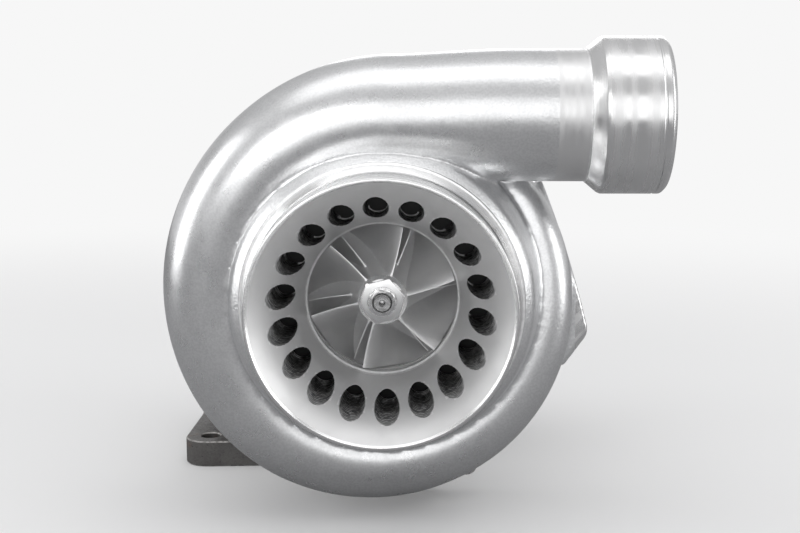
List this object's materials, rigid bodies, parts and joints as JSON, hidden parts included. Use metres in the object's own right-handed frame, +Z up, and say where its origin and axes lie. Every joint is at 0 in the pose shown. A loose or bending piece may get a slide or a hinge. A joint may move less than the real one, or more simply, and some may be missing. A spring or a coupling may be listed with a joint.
{
  "type": "turbocharger",
  "caption": "Turbocharger: ported compressor cover with scroll and hose outlet, bladed rotor on floating bearings, bearing housing, divided turbine housing with a four-bolt flange.",
  "frame": {"origin": "centre of the turbine inlet flange's underside, on the wall between its two ports", "axes": "+Z up from the flange; the shaft runs along Y with the compressor inlet facing -Y and the turbine outlet facing +Y; +X towards the compressor outlet"},
  "size_m": [0.2536, 0.272, 0.2436],
  "materials": {
    "cast_aluminium": "satin",
    "machined_aluminium": "machined",
    "cast_iron": "rough cast",
    "hot_iron": "rough cast",
    "steel": "machined",
    "stainless": "satin",
    "nickel_alloy": "cast",
    "bronze": "machined",
    "rubber": "matte"
  },
  "bodies": {
    "housing": {"compressor_cover": "cast_aluminium", "compressor_backplate": "machined_aluminium", "bearing_housing": "cast_iron", "turbine_housing": "hot_iron", "cover_clamp_t_bolt": "steel", "cover_clamp_trunnion": "steel", "cover_clamp_nut": "steel", "compressor_piston_ring": "steel", "oil_baffle": "steel", "turbine_piston_ring": "steel", "backplate_bolt_1": "steel", "backplate_bolt_2": "steel", "backplate_bolt_3": "steel", "backplate_bolt_4": "steel", "backplate_bolt_5": "steel", "backplate_bolt_6": "steel", "thrust_bearing_screw_1": "steel", "thrust_bearing_screw_2": "steel", "thrust_bearing_screw_3": "steel", "bearing_retaining_ring_1": "steel", "bearing_retaining_ring_2": "steel", "bearing_retaining_ring_3": "steel", "bearing_retaining_ring_4": "steel", "clamp_plate_1": "steel", "clamp_plate_2": "steel", "clamp_plate_3": "steel", "cover_clamp_strap": "stainless", "heat_shield": "stainless", "cover_clamp_segment_1": "stainless", "cover_clamp_segment_2": "stainless", "cover_clamp_segment_3": "stainless", "turbine_housing_bolt_1": "stainless", "turbine_housing_bolt_2": "stainless", "turbine_housing_bolt_3": "stainless", "turbine_housing_bolt_4": "stainless", "turbine_housing_bolt_5": "stainless", "turbine_housing_bolt_6": "stainless", "thrust_bearing": "bronze", "backplate_o_ring": "rubber", "bearing_housing_o_ring": "rubber"},
    "rotor": {"compressor_wheel": "machined_aluminium", "compressor_nut": "steel", "oil_flinger": "steel", "thrust_collar": "steel", "thrust_washer": "steel", "turbine_shaft": "steel", "turbine_wheel": "nickel_alloy"},
    "front_bearing": {"journal_bearing_front": "bronze"},
    "rear_bearing": {"journal_bearing_rear": "bronze"}
  },
  "joints": [
    {"name": "rotor_spin", "type": "hinge", "parent": "housing", "child": "rotor", "pos_m": [0.071, -0.1, 0.117], "axis": [0, 1, 0], "continuous": true},
    {"name": "front_bearing_float", "type": "hinge", "parent": "housing", "child": "front_bearing", "pos_m": [0.071, -0.1, 0.117], "axis": [0, 1, 0], "continuous": true},
    {"name": "rear_bearing_float", "type": "hinge", "parent": "housing", "child": "rear_bearing", "pos_m": [0.071, -0.1, 0.117], "axis": [0, 1, 0], "continuous": true}
  ]
}
